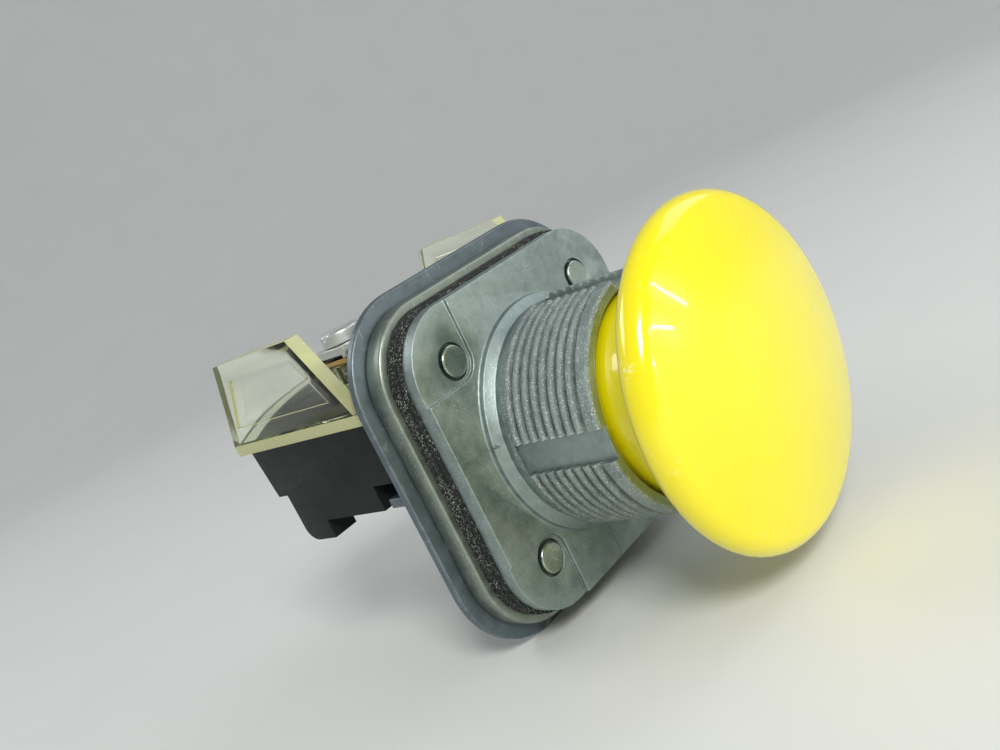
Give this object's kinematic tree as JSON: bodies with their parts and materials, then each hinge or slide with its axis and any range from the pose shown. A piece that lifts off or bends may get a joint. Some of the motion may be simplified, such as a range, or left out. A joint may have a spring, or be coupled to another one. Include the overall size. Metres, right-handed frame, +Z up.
{
  "type": "mushroom head push button operator",
  "caption": "Panel-mount mushroom-head push-button operator with threaded die-cast bushing, square flange and rear contact block.",
  "frame": {"origin": "on the bushing's axis at the front face of the square flange, which seats against the panel", "axes": "-Y out of the panel along the bushing and towards the mushroom head, +Y towards the contact block, +Z up, +X to the right seen from the back"},
  "size_m": [0.0484, 0.0707, 0.0486],
  "materials": {
    "yellow_plastic": "glossy moulded yellow",
    "brass": "stamped or turned brass",
    "seal_rubber": "matte black rubber",
    "plated_steel": "zinc-plated steel",
    "spring_steel": "drawn spring wire",
    "white_plastic": "natural nylon",
    "cast_zinc": "die-cast zinc, satin, slightly sparkling",
    "gasket_composition": "speckled cork and rubber composition",
    "sheet_steel": "blue-grey satin sheet",
    "black_phenolic": "moulded black phenolic",
    "clear_plastic": "clear polycarbonate with a faint yellow-green tint"
  },
  "bodies": {
    "operator_body": {"bushing_casting": "cast_zinc", "gasket": "gasket_composition", "rear_housing": "cast_zinc", "back_plate": "sheet_steel", "rivets": "plated_steel", "stem_seal": "seal_rubber", "block_base": "black_phenolic", "terminal_cover": "clear_plastic", "fixed_contacts_nc": "brass", "fixed_contacts_no": "brass", "terminal_saddles": "plated_steel", "block_screws": "plated_steel", "block_screw_washers": "plated_steel"},
    "head": {"mushroom_head": "yellow_plastic", "head_insert": "brass", "skirt_seal": "seal_rubber", "spring_washer": "plated_steel", "return_spring": "spring_steel", "plunger_stem": "white_plastic", "actuator_disc": "white_plastic", "disc_screw": "plated_steel"},
    "carriage": {"block_carriage": "white_plastic", "carriage_spring": "spring_steel"},
    "nc_contact": {"bridge_nc": "brass", "spring_nc": "spring_steel"},
    "no_contact": {"bridge_no": "brass", "spring_no": "spring_steel"},
    "screw_1": {"terminal_screw_1": "plated_steel"},
    "screw_2": {"terminal_screw_2": "plated_steel"},
    "screw_3": {"terminal_screw_3": "plated_steel"},
    "screw_4": {"terminal_screw_4": "plated_steel"}
  },
  "joints": [
    {"name": "head_press", "type": "slide", "parent": "operator_body", "child": "head", "axis": [0, 1, 0], "range_m": [0, 0.004], "stiffness_N_per_m": 2500, "springref_m": -0.003, "deforming": ["return_spring"]},
    {"name": "carriage_slide", "type": "slide", "parent": "operator_body", "child": "carriage", "axis": [0, 1, 0], "range_m": [0, 0.004], "stiffness_N_per_m": 300, "springref_m": -0.002, "deforming": ["carriage_spring"]},
    {"name": "nc_bridge_slide", "type": "slide", "parent": "operator_body", "child": "nc_contact", "axis": [0, 1, 0], "range_m": [0, 0.0027], "deforming": ["spring_nc"]},
    {"name": "no_bridge_slide", "type": "slide", "parent": "operator_body", "child": "no_contact", "axis": [0, 1, 0], "range_m": [0, 0.002], "deforming": ["spring_no"]},
    {"name": "terminal_1_turn", "type": "hinge", "parent": "operator_body", "child": "screw_1", "pos_m": [-0.008, 0.0167, 0.02], "axis": [0, 0, 1], "range_deg": [0, 720]},
    {"name": "terminal_2_turn", "type": "hinge", "parent": "operator_body", "child": "screw_2", "pos_m": [0.008, 0.0167, 0.02], "axis": [0, 0, 1], "range_deg": [0, 720]},
    {"name": "terminal_3_turn", "type": "hinge", "parent": "operator_body", "child": "screw_3", "pos_m": [-0.008, 0.0247, 0.02], "axis": [0, 0, 1], "range_deg": [0, 720]},
    {"name": "terminal_4_turn", "type": "hinge", "parent": "operator_body", "child": "screw_4", "pos_m": [0.008, 0.0247, 0.02], "axis": [0, 0, 1], "range_deg": [0, 720]}
  ],
  "couplings": [
    {"joint": "carriage_slide", "follows": "head_press", "ratio": 1},
    {"joint": "nc_bridge_slide", "follows": "head_press", "ratio": 0.675},
    {"joint": "no_bridge_slide", "follows": "head_press", "ratio": 0.5}
  ]
}
